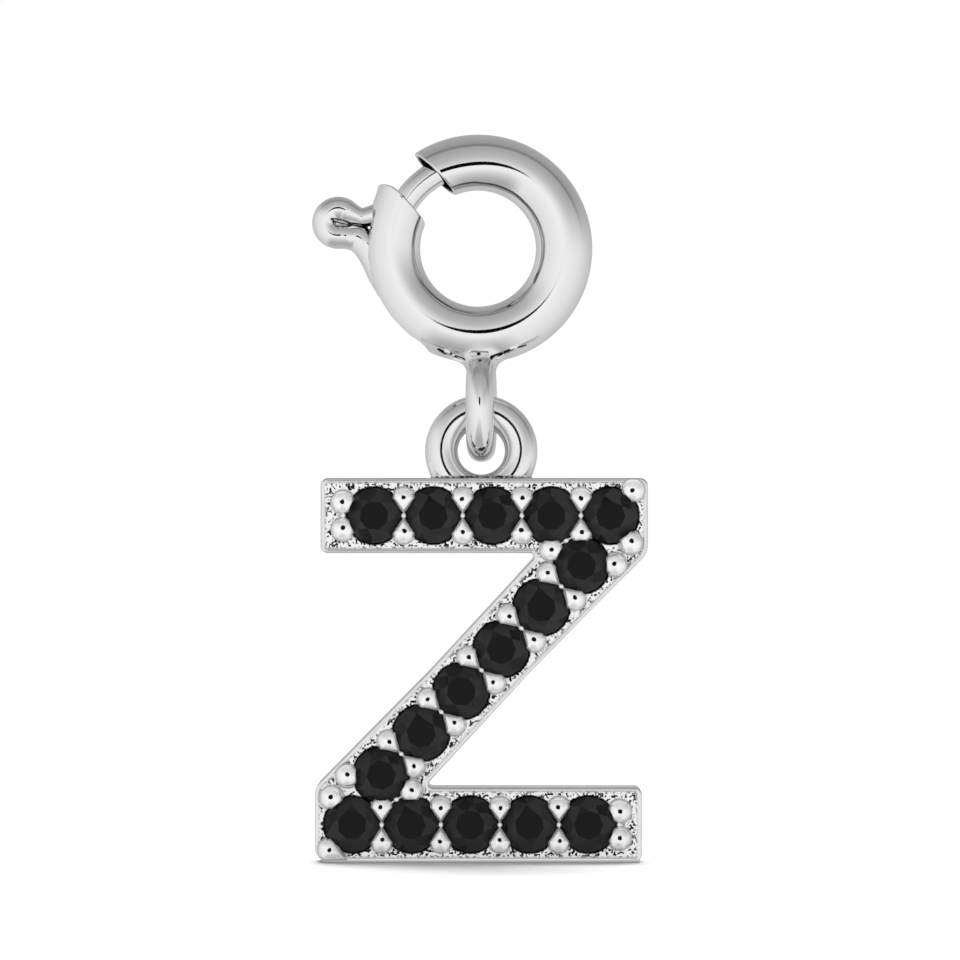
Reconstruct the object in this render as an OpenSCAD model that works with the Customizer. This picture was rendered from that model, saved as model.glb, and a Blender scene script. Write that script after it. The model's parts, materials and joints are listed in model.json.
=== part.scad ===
// Letter charm on a ring clasp. The letter is a Z of one cast piece, set with round cut stones that
// bead prongs hold, and it hangs by its own loop from the eye of a hollow ring clasp.
// Millimetres. +X is right, +Z is up and the stones face -Y. The origin is the inside top of the ring,
// where a chain carries the charm.

/* [Ring clasp] */
// Outer diameter of the ring
ring_d = 7; // [6.5:0.1:9]
// Diameter of the hollow tube that the ring is bent from
tube_d = 1.73; // [1.6:0.01:1.9]
// Wall of the tube
tube_wall = 0.15; // [0.1:0.01:0.2]
// Width of the opening that a chain goes in through
gap_w = 1.25; // [0.9:0.05:1.4]
// Middle of the opening, in degrees round the ring from its right-hand side
gap_angle = 134; // [126:1:138]

/* [Trigger] */
// Diameter of the trigger's wire
trigger_d = 0.8; // [0.7:0.01:0.9]
// How far the closed trigger reaches into the far end of the tube
tip_reach = 0.25; // [0.15:0.01:0.35]
// Middle of the knob, in degrees past the middle of the opening
knob_turn = 35.5; // [34:0.5:38]
// How far the knob stands out from the tube
knob_reach = 1.65; // [1.5:0.05:2.2]
// Diameter of the wire where it is folded into the knob
fold_d = 0.76; // [0.66:0.01:0.78]
// Slit between the two legs of the fold
fold_slit = 0.08; // [0.04:0.01:0.12]
// Degrees by which each leg of the fold leans in towards the other
fold_lean = 12; // [8:1:14]
// Length of the tail that lies in the slot behind the knob
tail_len = 2.25; // [1.8:0.05:2.5]
// How far the tail stands proud of the tube
tail_proud = 0.06; // [0:0.01:0.1]
// Play on each side of the trigger in its slot
slot_play = 0.05; // [0.04:0.01:0.08]

/* [Eye] */
// Diameter of the eye's wire
eye_wire_d = 0.98; // [0.8:0.02:1.1]
// Room in the eye beside the wire of the letter's loop
eye_play = 0.32; // [0.25:0.01:0.6]
// How deep the eye is soldered into the tube
eye_sink = 0.25; // [0.15:0.01:0.4]
// How far the eye and the letter hang to the right of the ring's middle
eye_shift = 0.1; // [0:0.01:0.3]
// Diameter of the bead of solder that joins the eye and the tube
solder_d = 1.44; // [1.3:0.02:1.6]
// How far the bead of solder stands out from the tube
solder_proud = 0.27; // [0.15:0.01:0.35]

/* [Letter] */
// Height of the letter
letter_h = 11.71; // [11:0.05:14]
// Length of the letter's bars
bar_len = 9.98; // [9.7:0.02:11]
// Thickness of the letter
letter_t = 1.7; // [1.4:0.05:2.5]
// How far each bar is set off sideways from the letter's middle, which leans the letter
lean = 0.09; // [0:0.01:0.2]
// Level width of the diagonal where it leaves a bar
foot_w = 3.35; // [3.2:0.05:3.8]
// Level width of the diagonal at its middle
waist_w = 3.13; // [3:0.01:3.3]
// Radius of the bars' corners
corner_r = 0.22; // [0.1:0.01:0.4]
// Radius of the blunt corners where the diagonal leaves a bar's end
shoulder_r = 0.6; // [0.3:0.05:1]
// Radius of the inner corners
notch_r = 0.1; // [0.05:0.01:0.2]
// Diameter of the wire of the letter's loop
loop_wire_d = 1; // [0.8:0.02:1.1]
// Room in the loop beside the eye's wire
loop_play = 0.46; // [0.4:0.01:0.8]
// How deep the loop is sunk into the top bar
loop_sink = 0.9; // [0.8:0.02:1]
// Gap between the loop and the eye that it hangs in
hang_gap = 0.07; // [0.05:0.01:0.1]

/* [Stones] */
// Diameter of a stone
stone_d = 1.7; // [1.5:0.01:1.76]
// Metal between a stone and the letter's edge
edge_land = 0.295; // [0.25:0.005:0.35]
// Gap between neighbouring stones of a bar
bar_gap = 0.1; // [0.06:0.01:0.16]
// Gap between the diagonal's end stones and the bar's corner stones
nest_gap = 0.06; // [0.05:0.005:0.08]
// Play between a stone and its seat
seat_play = 0.02; // [0.01:0.005:0.02]
// Width of the table as a share of the stone's diameter
table_share = 0.53; // [0.45:0.01:0.62]
// Crown height as a share of the stone's diameter
crown_share = 0.16; // [0.12:0.01:0.18]
// Pavilion depth as a share of the stone's diameter
pavilion_share = 0.43; // [0.38:0.01:0.44]
// Height of the stone's girdle
girdle_h = 0.05; // [0.03:0.01:0.08]
// Degrees that each stone is turned on from the one before it
stone_turn = 17; // [0:1:45]

/* [Prongs] */
// Diameter of a bead prong
prong_d = 0.68; // [0.6:0.01:0.72]
// Distance from a stone's edge to the middle of its prongs
prong_out = 0.18; // [0.15:0.01:0.22]
// How far a prong's tip reaches over a stone's edge
prong_grip = 0.08; // [0.05:0.01:0.1]

/* [Hidden] */
$fn = 48;

// Angle seen from a ring's middle that a length along its wire covers
function turn(length, radius) = length / radius * 180 / PI;

// The ring, drawn in the plane of the front view, with its middle under the origin
ring_r = (ring_d - tube_d) / 2;
ring_y = tube_d - ring_d / 2;
bore_d = tube_d - 2 * tube_wall;
half_gap_angle = asin(gap_w / 2 / ring_r);

// The trigger closed, and the pull that brings its tip level with the near side of the opening
tip_angle = gap_angle - half_gap_angle - turn(tip_reach, ring_r);
trigger_pull = 2 * half_gap_angle + turn(tip_reach, ring_r);
end_chamfer = trigger_d / 6;
seam = 0.01; // stretches of one wire run this far into each other, and the inner one is this much thinner
knob_angle = gap_angle + knob_turn;
fold_r = (fold_d + fold_slit) / 2;
fold_out = ring_d / 2 + knob_reach - fold_r - fold_d / 2;
legs_cross = fold_out - fold_r / sin(fold_lean);
tail_r = ring_d / 2 + tail_proud - trigger_d / 2;
tail_end = knob_angle + turn(tail_len, tail_r);

// The slot reaches from the knob's upper leg to where the tail comes when the knob is pulled
slot_w = trigger_d + 2 * slot_play;
leg_edge = (ring_d / 2 - legs_cross) * tan(fold_lean) + fold_d / 2 / cos(fold_lean);
slot_from = knob_angle - asin((leg_edge + slot_play) / (ring_d / 2));
slot_to = tail_end + trigger_pull + turn(slot_play, tail_r);

// The eye goes round the wire of the letter's loop, and the loop round the eye's wire
eye_hole_d = loop_wire_d + eye_play;
eye_r = (eye_hole_d + eye_wire_d) / 2;
eye_y = ring_y - ring_d / 2 + eye_sink - eye_r - eye_wire_d / 2;
loop_hole_d = eye_wire_d + loop_play;
loop_r = (loop_hole_d + loop_wire_d) / 2;
pivot_y = eye_y - eye_hole_d / 2 + hang_gap + loop_wire_d / 2;
loop_y = pivot_y - loop_r;

// The letter, drawn round its own middle: what is on its upper half is on the lower half turned by 180 degrees
stroke = stone_d + 2 * edge_land;
letter_y = loop_y - loop_r - loop_wire_d / 2 + loop_sink - letter_h / 2;
bar_left = lean - bar_len / 2;
bar_right = lean + bar_len / 2;
bar_low = letter_h / 2 - stroke;
corner_steps = 6;

// Where the prongs stand round a stone
prong_at = stone_d / 2 + prong_out;
free_end_spread = 23.5;

// Stones of the top bar from its free end to the corner, then down the diagonal, then along the other bar
bar_pitch = stone_d + bar_gap;
bar_y = letter_h / 2 - stroke / 2;
corner_x = bar_right - stone_d / 2 - edge_land;
free_end_room = prong_at * cos(free_end_spread) + prong_d / 2 + edge_land;
bar_count = 1 + floor((corner_x - bar_left - free_end_room) / bar_pitch);
top_row = [for (i = [bar_count - 1 : -1 : 0]) [corner_x - i * bar_pitch, bar_y]];
bottom_row = [for (i = [bar_count - 1 : -1 : 0]) -top_row[i]];
corner_stone = top_row[bar_count - 1];
diagonal = unit([bar_right - foot_w / 2, bar_low]);
along = diagonal * corner_stone;
nest = stone_d + nest_gap;
diagonal_end = along - sqrt(along * along - corner_stone * corner_stone + nest * nest);
diagonal_count = 1 + floor(2 * diagonal_end / nest);
diagonal_pitch = 2 * diagonal_end / (diagonal_count - 1);
diagonal_row = [for (i = [0 : diagonal_count - 1]) diagonal * (diagonal_end - i * diagonal_pitch)];
stones = concat(top_row, diagonal_row, bottom_row);

// Prongs: a pair at each meeting of two stones, a pair at a bar's free end and single ones round the corner
corner_prongs = [ // stone, degrees round it
    [corner_stone, 48],
    [corner_stone, -53],
    [diagonal_row[0], 2]
];
half_prongs = concat(
    pairs(top_row),
    [for (side = [-1, 1]) top_row[0] + prong_at * heading(180 + side * free_end_spread)],
    [for (row = corner_prongs) row[0] + prong_at * heading(row[1])],
    [beside(top_row[bar_count - 2], diagonal_row[0], -1)]
);
prongs = concat(half_prongs, -1 * half_prongs, pairs(diagonal_row));

// A cut stone: heights above its girdle, for facets in eighths of a turn
stone_r = stone_d / 2;
table_r = stone_r * table_share;
crown_h = stone_d * crown_share;
pavilion_h = stone_d * pavilion_share;
star_r = (table_r * cos(22.5) + stone_r) / 2;
star_h = crown_h * (stone_r - star_r * cos(22.5)) / (stone_r - table_r);
lower_r = stone_r / 4;
lower_h = pavilion_h * (stone_r - lower_r * cos(22.5)) / stone_r;
grip_h = prong_grip * crown_h / (stone_r - table_r);

function unit(v) = v / norm(v);
function heading(angle) = [cos(angle), sin(angle)];
function stone_name(i) = str("stone_", i < 10 ? "0" : "", i);

// Place of a prong that holds two neighbouring stones, on one side of the line between them
function beside(a, b, side) =
    let (line = unit(b - a), off = sqrt(prong_at * prong_at - pow(norm(b - a) / 2, 2)))
    (a + b) / 2 + side * off * [-line[1], line[0]];
function pairs(row) = [for (i = [0 : len(row) - 2], side = [-1, 1]) beside(row[i], row[i + 1], side)];

// Points of the arc that rounds the corner b between a and c
function rounded(a, b, c, r) =
    let (p = unit(a - b), q = unit(c - b), half = acos(p * q) / 2,
         middle = b + unit(p + q) * r / sin(half),
         from = b + p * r / tan(half) - middle,
         to = b + q * r / tan(half) - middle)
    [for (i = [0 : corner_steps]) middle + r * unit(from + (to - from) * i / corner_steps)];

// Draws in the plane of the front view, where y is up and z is towards the viewer
module upright() { rotate([90, 0, 0]) children(); }

// Things placed round the ring clasp's middle
module on_ring(angle = 0) { upright() translate([0, ring_y, 0]) rotate([0, 0, angle]) children(); }

// A closed ring of round wire in the drawing plane
module wire_ring(r, d) { rotate_extrude() translate([r, 0]) circle(d = d); }

// A stretch of round wire along a circle, from one angle to another
module wire_arc(r, d, from, to) {
    rotate([0, 0, from]) rotate_extrude(angle = to - from) translate([r, 0]) circle(d = d);
}

// The blunt end of the trigger's wire, on a circle, pointing along it one way or the other
module wire_end(r, angle, way) {
    rotate([0, 0, angle]) translate([r, -way * seam, 0]) rotate([-90 * way, 0, 0])
        cylinder(h = end_chamfer + seam, d1 = trigger_d - seam, d2 = trigger_d - 2 * end_chamfer);
}

module gap_cut() {
    on_ring(gap_angle) translate([ring_r, 0, 0]) cube([2 * tube_d, gap_w, 2 * tube_d], center = true);
}

module slot_cut() {
    on_ring(slot_from) rotate_extrude(angle = slot_to - slot_from)
        translate([ring_r, -slot_w / 2]) square([tube_d, slot_w]);
}

module eye() {
    upright() translate([eye_shift, eye_y, 0]) rotate([0, 90, 0]) wire_ring(eye_r, eye_wire_d);
}

// The bead of solder at the root of the eye
module solder() {
    upright() translate([eye_shift, ring_y - ring_d / 2 - solder_proud + solder_d / 2, 0]) sphere(d = solder_d);
}

module ring_shell() {
    color("silver") difference() {
        union() {
            on_ring() wire_ring(ring_r, tube_d);
            eye();
            solder();
        }
        on_ring() wire_ring(ring_r, bore_d);
        gap_cut();
        slot_cut();
    }
}

// One leg of the fold, from where the fold's bend ends to its own depth under the tube's outside
module fold_leg(way, depth) {
    leg = (fold_out - depth) / cos(fold_lean) - fold_r * tan(fold_lean);
    translate([fold_out, 0, 0]) rotate([0, 0, way * (90 + fold_lean)]) translate([fold_r, -way * seam, 0])
        rotate([-90 * way, 0, 0]) cylinder(h = leg + seam, d = fold_d - seam);
}

// The wire runs from the tip along the tube, out into the folded knob, back in and down its slot
module trigger() {
    tip = tip_angle + turn(end_chamfer, ring_r);
    tail = tail_end - turn(end_chamfer, tail_r);
    color("silver") on_ring() {
        wire_end(ring_r, tip, -1);
        wire_arc(ring_r, trigger_d, tip, knob_angle + turn(trigger_d / 2, ring_r));
        rotate([0, 0, knob_angle]) {
            translate([fold_out, 0, 0]) wire_arc(fold_r, fold_d, -90 - fold_lean, 90 + fold_lean);
            fold_leg(-1, ring_r);
            fold_leg(1, tail_r);
        }
        wire_arc(tail_r, trigger_d, knob_angle, tail);
        wire_end(tail_r, tail, 1);
    }
}

// The outline of the letter's upper half, turned by 180 degrees for the lower half
module letter_outline() {
    top_left = [bar_left, letter_h / 2];
    top_right = [bar_right, letter_h / 2];
    shoulder = [bar_right, bar_low];
    waist = [waist_w / 2, 0];
    notch = [bar_right - foot_w, bar_low];
    low_left = [bar_left, bar_low];
    half = concat(
        [-waist],
        rounded(-waist, notch, low_left, notch_r),
        rounded(notch, low_left, top_left, corner_r),
        rounded(low_left, top_left, top_right, corner_r),
        rounded(top_left, top_right, shoulder, corner_r),
        rounded(top_right, shoulder, waist, shoulder_r)
    );
    polygon(concat(half, -1 * half));
}

// The room that a stone takes in the metal: its pavilion, its girdle, and its crown under the prongs' tips
module setting_cut() {
    r = stone_r + seat_play;
    grip_r = stone_r - prong_grip;
    open_h = crown_h + prong_d;
    rotate_extrude() polygon([
        [0, -girdle_h - pavilion_h - 2 * seat_play], [r, -girdle_h - 2 * seat_play], [r, seat_play],
        [grip_r, seat_play + grip_h], [grip_r, open_h], [0, open_h]
    ]);
}

// Things placed on the letter's front face
module on_face(place) { translate([place[0], place[1], letter_t / 2]) children(); }

// Things placed round the letter's middle
module on_letter() { upright() translate([eye_shift, letter_y, 0]) children(); }

module letter() {
    color("silver") on_letter() difference() {
        union() {
            linear_extrude(letter_t, center = true) letter_outline();
            for (place = prongs) on_face(place) sphere(d = prong_d);
            translate([0, loop_y - letter_y, 0]) wire_ring(loop_r, loop_wire_d);
        }
        for (place = stones) on_face(place) setting_cut();
    }
}

// A round brilliant with its table up: 8 table, 16 star, 16 girdle, 16 lower and 1 culet points
module cut_stone() {
    function ring_points(r, z, count, start) =
        [for (i = [0 : count - 1]) [r * cos(start + i * 360 / count), r * sin(start + i * 360 / count), z]];
    points = concat(
        ring_points(table_r, crown_h, 8, 0), ring_points(star_r, star_h, 8, 22.5),
        ring_points(stone_r, 0, 16, 0), ring_points(stone_r, -girdle_h, 16, 0),
        ring_points(lower_r, -girdle_h - lower_h, 8, 22.5), [[0, 0, -girdle_h - pavilion_h]]
    );
    function table(i) = (i + 8) % 8;
    function star(i) = 8 + (i + 8) % 8;
    function girdle(i) = 16 + (i + 16) % 16;
    function under(i) = 32 + (i + 16) % 16;
    function lower(i) = 48 + (i + 8) % 8;
    culet = 56;
    faces = concat(
        [[for (i = [7 : -1 : 0]) table(i)]],
        [for (i = [0 : 7]) [table(i), table(i + 1), star(i)]],
        [for (i = [0 : 7]) [table(i), star(i), girdle(2 * i), star(i - 1)]],
        [for (i = [0 : 7], k = [0, 1]) [star(i), girdle(2 * i + k + 1), girdle(2 * i + k)]],
        [for (i = [0 : 15]) [girdle(i), girdle(i + 1), under(i + 1), under(i)]],
        [for (i = [0 : 7], k = [0, 1]) [lower(i), under(2 * i + k), under(2 * i + k + 1)]],
        [for (i = [0 : 7]) [under(2 * i), lower(i), culet, lower(i - 1)]]
    );
    polyhedron(points, faces);
}

module stone(i) {
    color([0.05, 0.05, 0.06]) on_letter() on_face(stones[i - 1]) rotate([0, 0, stone_turn * i]) cut_stone();
}

ring_shell();
trigger();
letter();
for (i = [1 : len(stones)]) stone(i);
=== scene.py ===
"""Looks of the letter charm on its ring clasp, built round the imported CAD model.

Sizes here are millimetres and turn into metres where a mesh is made. +X is right, +Z is up and the
stones face -Y, as in the CAD. The metal pieces are closed shapes given by fields: a field takes
points and says how far outside the shape each one is, and less than zero is inside. The surface is
found on a grid that is fine where the shape is.
"""

import json
import math

import bpy
import numpy as np
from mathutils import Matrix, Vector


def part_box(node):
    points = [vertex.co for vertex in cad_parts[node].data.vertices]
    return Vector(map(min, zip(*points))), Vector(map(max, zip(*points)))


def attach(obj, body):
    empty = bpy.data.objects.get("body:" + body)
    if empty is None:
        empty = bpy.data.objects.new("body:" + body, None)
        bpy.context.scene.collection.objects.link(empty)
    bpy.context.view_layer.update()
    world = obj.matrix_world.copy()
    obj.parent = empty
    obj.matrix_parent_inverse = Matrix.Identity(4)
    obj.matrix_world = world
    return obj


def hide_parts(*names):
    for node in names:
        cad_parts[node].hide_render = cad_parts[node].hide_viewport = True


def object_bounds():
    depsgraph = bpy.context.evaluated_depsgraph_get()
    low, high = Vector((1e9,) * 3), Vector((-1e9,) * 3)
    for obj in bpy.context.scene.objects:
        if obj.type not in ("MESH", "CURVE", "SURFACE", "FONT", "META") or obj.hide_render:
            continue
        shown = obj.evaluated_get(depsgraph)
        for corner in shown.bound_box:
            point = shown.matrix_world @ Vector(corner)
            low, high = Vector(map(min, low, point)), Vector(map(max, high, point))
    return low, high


MM = 0.001

# Spacing of the grids, and the room that a grid leaves round a piece
RING_STEP = 0.059
TRIGGER_STEP = 0.035
LETTER_STEP = 0.055
PRONG_STEP = 0.032
WEB_STEP = 0.035
GRID_ROOM = 0.1

# Rounding of fine edges, and how far inside the CAD's tube the ring's surface stays
FINE_ROUND = 0.03
INSIDE_CAD = 0.0015

# Ring clasp, apart from what the frame gives. Angles go round its middle from +X towards +Z.
TUBE_WALL = 0.15
GAP_WIDTH = 1.25
GAP_ANGLE = 134
GAP_LEAN = 6
GAP_FROM = 0.5
LIP_ROUND = 0.05
SLOT_FROM = 158.2
SLOT_TO = 244.1
SLOT_WIDTH = 0.9

# How far the top of the tube is pressed off round, and where
TOP_SHEAR = 0.16
PRESSED_AT = 99
PRESSED_HALF = 50

# How far the lower lip swings out, and how far its outer corner is worn back
LIP_FLARE = 0.15
FLARE_FROM = 160
FLARE_OVER = 15
LIP_BLUNT = 0.28
BLUNT_FROM = 0.5
BLUNT_OVER = 0.6

# Trigger. The knob is a wire folded on itself, on a middle line that points outwards.
TRIGGER_D = 0.8
TIP_ANGLE = 115
TIP_CUT = 9
TIP_ROUND = 0.15
KNOB_ANGLE = 169.5
KNOB_OUT = 4.35
FOLD_R = 0.42
FOLD_WIRE_R = 0.379
FOLD_TURN = 110
WEB_LENGTH = 0.8
SLIT_LENGTH = 0.66
SLIT_WIDTH = 0.1
SLIT_FLOOR = 0.13
SLIT_BACK = 0.09
SLIT_RISE = 0.045
SLIT_SLOPE = 0.07

# Fillets of the knob's legs: at the rod, at the tail, between them and where each is pinched
ROD_FILLET = 0.2
TAIL_FILLET = 0.25
LEGS_FILLET = 0.05
UPPER_FILLET = 0.06
LOWER_FILLET = 0.2

# Painted shade on the knob, no further than the first depth below from its middle: a dark line round
# the slit, and a dark band down the seam behind the slit, which widens towards the ring
PAINTED_SHADE_DEPTH = 0.33
SLIT_LINE = 0.028
SEAM_FROM = 0.4
SEAM_RISE = 0.01
SEAM_HALF_W = 0.02
SEAM_WIDENS = 0.1
SEAM_MIDDLE = 0.22
SEAM_HALF_L = 0.25

# The knob's tail, which stands proud near the knob and sinks into the slot further on
TAIL_R = 3.16
TAIL_FROM = 178.5
TAIL_END = 203.3
TAIL_PROUD = 0.13
PROUD_TO = 194
PROUD_OVER = 12
TAIL_SUNK = 0.17
SUNK_FROM = 186
SUNK_OVER = 17

# Eye and solder. Squareness is 2 for a round section and more for a squarer one. The solder's
# marks lie below SOLDER_TOP from the ring's middle, and it is dull round the height DULL_AT.
EYE_R = 1.15
EYE_HALF_WIDTH = 0.43
EYE_HALF_DEPTH = 0.49
EYE_YAW = 2.5
SQUARENESS = 2.2
SOLDER_FILLET = 0.45
SOLDER_TOP = -2
DULL_AT = -5.35
DULL_HALF_W = 0.5
DULL_HALF_H = 0.4

# Letter. LEAN is how far the top bar's middle lies to the right of the letter's.
LETTER_H = 11.71
LETTER_T = 1.7
LEAN = 0.09
STROKE = 2.29
FOOT_W = 3.35
WAIST_W = 3.13
CORNER_R = 0.22
WORN_R = 0.42
SHOULDER_R = 0.6
NOTCH_R = 0.1
EDGE_ROUND = 0.07
RIM_W = 0.15
GROUND_SINK = 0.03
SIDE_FROST = 0.3
LOOP_R = 1.22
LOOP_WIRE_R = 0.5
LOOP_TILT = 4.6
LOOP_FILLET = 0.08

# Stones and their seats. SEAT_CALM and CROWN_CALM bring the fields of slanted cuts nearer to true
# distances.
STONE_R = 0.85
STONE_GAP = 0.02
CROWN_SLOPE = 1.85
CROWN_CALM = 0.8
SEAT_R = 0.892
SEAT_DEPTH = 0.73
SEAT_CALM = 0.62
GIRDLE_H = 0.05

# Prongs, each a bead on a low base. They reach PRONG_ROOT into the plate and end PRONG_EDGE
# inside its outline.
PRONG_R = 0.35
PRONG_H = 0.34
PRONG_OUT = 0.18
PRONG_GRIP = 0.08
PRONG_SQUARENESS = 2.4
PRONG_ROOT = 0.2
PRONG_EDGE = 0.03
PRONG_EDGE_ROUND = 0.06
BASE_OUT = 0.04
BASE_H = 0.03
FOOT_SHARE = 0.4
FOOT_R = 0.05
# Painted shade: how grey the prongs' feet are and the height it reaches; then the dents on top,
# painted dark, their radius and how far off the middle they lie
FOOT_SHADE = 0.4
FOOT_SHADE_H = 0.075
DENT_R = 0.055
DENT_OFF = 0.03

# Prongs that hold one stone, by angle round it: at the top bar's free end, at its corner, beside
# the diagonal's first stone and at the worn corner
FREE_END_SPREAD = 23.5
CORNER_ANGLES = (48, -53)
FIRST_ANGLE = 2
WORN_ANGLE = 258

# Webs between facing prongs, each a wire a little under the letter's face with a bead on it
WEB_R = 0.09
WEB_UNDER = 0.05
WEB_BEAD_H = 0.02
WEB_FILLET = 0.04
WEB_ROOM = 0.16

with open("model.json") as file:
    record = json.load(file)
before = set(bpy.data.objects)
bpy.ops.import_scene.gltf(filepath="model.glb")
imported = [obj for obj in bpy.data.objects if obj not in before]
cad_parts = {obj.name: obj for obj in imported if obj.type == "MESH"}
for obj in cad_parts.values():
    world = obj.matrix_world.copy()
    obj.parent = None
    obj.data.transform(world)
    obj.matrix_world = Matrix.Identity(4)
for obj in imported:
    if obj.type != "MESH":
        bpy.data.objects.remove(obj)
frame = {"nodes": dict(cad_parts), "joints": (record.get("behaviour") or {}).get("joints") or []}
cad_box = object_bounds()


# Fields


def rounded_union(a, b, width):
    """Both shapes, with a fillet of about this width where they meet."""
    near = np.maximum(width - np.abs(a - b), 0)
    return np.minimum(a, b) - near * near / (4 * width)


def rounded_cut(a, b, width):
    """Shape a without shape b, with the edge of the cut rounded."""
    return -rounded_union(-a, b, width)


def capsule(points, start, end, start_r, end_r):
    """A straight stretch of wire with round ends, in two or three dimensions."""
    start, end = np.asarray(start, float), np.asarray(end, float)
    line = end - start
    share = np.clip((points - start) @ line / (line @ line), 0, 1)
    off = points - start - share[:, None] * line
    return np.sqrt((off * off).sum(axis=1)) - (start_r + share * (end_r - start_r))


def wire_arc(around, depth, angle, r, wire_r, start, end):
    """A stretch of wire bent round a middle, given distance, depth and angle from that middle."""
    middle, half = (start + end) / 2, (end - start) / 2
    beyond = np.maximum(np.abs(angle - middle) - half, 0)
    beyond = np.radians(np.minimum(beyond, 90))
    along = around * np.sin(beyond)
    out = around * np.cos(beyond) - r
    return np.sqrt(out * out + depth * depth + along * along) - wire_r


def polygon_distance(flat, corners):
    """Distance outside a polygon in the plane, less than zero inside."""
    nearest = np.full(len(flat), np.inf)
    inside = np.zeros(len(flat), bool)
    for start, end in zip(corners, np.roll(corners, -1, axis=0)):
        line = end - start
        off = flat - start
        share = np.clip(off @ line / (line @ line), 0, 1)
        gap = off - share[:, None] * line
        nearest = np.minimum(nearest, (gap * gap).sum(axis=1))
        level = (start[1] > flat[:, 1]) != (end[1] > flat[:, 1])
        if abs(line[1]) > 1e-12:
            inside ^= level & (off[:, 0] < off[:, 1] * line[0] / line[1])
    return np.where(inside, -1, 1) * np.sqrt(nearest)


# Surfaces of fields


def gradient(field, points):
    """Unit vectors along which a field grows."""
    step = 0.003
    total = np.zeros_like(points)
    for side in ((1, -1, -1), (-1, -1, 1), (-1, 1, -1), (1, 1, 1)):
        side = np.array(side, float)
        total += field(points + step * side)[:, None] * side
    return total / np.maximum(np.linalg.norm(total, axis=1, keepdims=True), 1e-12)


def sampled(field, grid):
    """The field at every point of a grid."""
    points = np.stack(np.meshgrid(*grid, indexing="ij"), axis=-1).reshape(-1, 3)
    parts = np.array_split(points, 1 + len(points) // 300_000)
    return np.concatenate([field(part) for part in parts]).reshape([len(a) for a in grid])


def crossings(field, grid, values, axis):
    """Where the grid's edges along one axis pass through the surface: edge, point and direction."""
    low = np.moveaxis(np.moveaxis(values, axis, 0)[:-1], 0, axis)
    high = np.moveaxis(np.moveaxis(values, axis, 0)[1:], 0, axis)
    edge = np.argwhere((low < 0) != (high < 0))
    near = np.stack([grid[k][edge[:, k]] for k in range(3)], axis=1)
    far = near.copy()
    far[:, axis] = grid[axis][edge[:, axis] + 1]
    f_near, f_far = low[tuple(edge.T)], high[tuple(edge.T)]
    leaves = f_near < 0
    for _ in range(3):
        share = (f_near / (f_near - f_far))[:, None]
        point = near + share * (far - near)
        f_point = field(point)
        back = (f_point < 0) == (f_near < 0)
        near, far = np.where(back[:, None], point, near), np.where(back[:, None], far, point)
        f_near, f_far = np.where(back, f_point, f_near), np.where(back, f_far, f_point)
    return edge, point, leaves


def surface(field, grid):
    """Points, four-sided faces and the normal at each face corner of the surface of a field.

    Each cell of the grid that the surface passes through holds one point, which is where the flat
    pieces of surface through the cell's edges come nearest to meeting. So edges stay crisp.
    """
    values = sampled(field, grid)
    size = np.array(values.shape)
    quads, spots = [], []
    for axis in range(3):
        edge, point, leaves = crossings(field, grid, values, axis)
        b, c = np.eye(3, dtype=int)[[(axis + 1) % 3, (axis + 2) % 3]]
        cells = np.stack([edge - b - c, edge - c, edge, edge - b], axis=1)
        numbers = (cells[..., 0] * size[1] + cells[..., 1]) * size[2] + cells[..., 2]
        quads.append(np.where(leaves[:, None], numbers, numbers[:, ::-1]))
        spots.append(point)
    quads, spots = np.concatenate(quads), np.concatenate(spots)
    cells, quads = np.unique(quads, return_inverse=True)
    quads = quads.reshape(-1, 4)
    points = meeting_points(spots, gradient(field, spots), quads, len(cells))
    low, high = cell_corners(cells, grid, size)
    points = np.clip(points, low, high)
    normals = gradient(field, points)
    points = np.clip(points - field(points)[:, None] * normals, low, high)
    return points, quads, corner_normals(field, points, quads)


def meeting_points(spots, normals, quads, count):
    """The point of each cell that lies best on the flat pieces of surface at its edges."""
    cell = quads.ravel()
    spot, normal = np.repeat(spots, 4, axis=0), np.repeat(normals, 4, axis=0)
    number = np.bincount(cell, minlength=count)
    middle = np.stack([np.bincount(cell, spot[:, k], count) for k in range(3)], axis=1)
    middle /= number[:, None]
    offset = (normal * (spot - middle[cell])).sum(axis=1)
    matrix = np.empty((count, 3, 3))
    pull = np.empty((count, 3))
    for i in range(3):
        pull[:, i] = np.bincount(cell, normal[:, i] * offset, count)
        for j in range(3):
            matrix[:, i, j] = np.bincount(cell, normal[:, i] * normal[:, j], count)
    matrix += 0.03 * number[:, None, None] * np.eye(3)
    return middle + np.linalg.solve(matrix, pull[..., None])[..., 0]


def cell_corners(cells, grid, size):
    """Lowest and highest corner of cells given by their numbers."""
    index = (cells // (size[1] * size[2]), cells // size[2] % size[1], cells % size[2])
    low = np.stack([grid[k][index[k]] for k in range(3)], axis=1)
    high = np.stack([grid[k][index[k] + 1] for k in range(3)], axis=1)
    return low, high


def corner_normals(field, points, quads):
    """Normals at the corners of faces, taken a little way into each face so that edges stay crisp."""
    corners = points[quads]
    middles = corners.mean(axis=1, keepdims=True)
    inside = (corners + 0.3 * (middles - corners)).reshape(-1, 3)
    smooth = gradient(field, points)
    normals = smooth[quads].reshape(-1, 3)
    flat = np.cross(corners[:, 2] - corners[:, 0], corners[:, 3] - corners[:, 1])
    flat /= np.maximum(np.linalg.norm(flat, axis=1, keepdims=True), 1e-12)
    bent = (normals * np.repeat(flat, 4, axis=0)).sum(axis=1) < 0.97
    normals[bent] = gradient(field, inside[bent])
    return normals


def steps(*stops):
    """Grid positions from stops: each is a place and the spacing from there on to the next one."""
    parts = []
    for (start, spacing), (end, _) in zip(stops, stops[1:]):
        parts.append(np.linspace(start, end, max(1, round((end - start) / spacing)), endpoint=False))
    return np.append(np.concatenate(parts), stops[-1][0])


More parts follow.
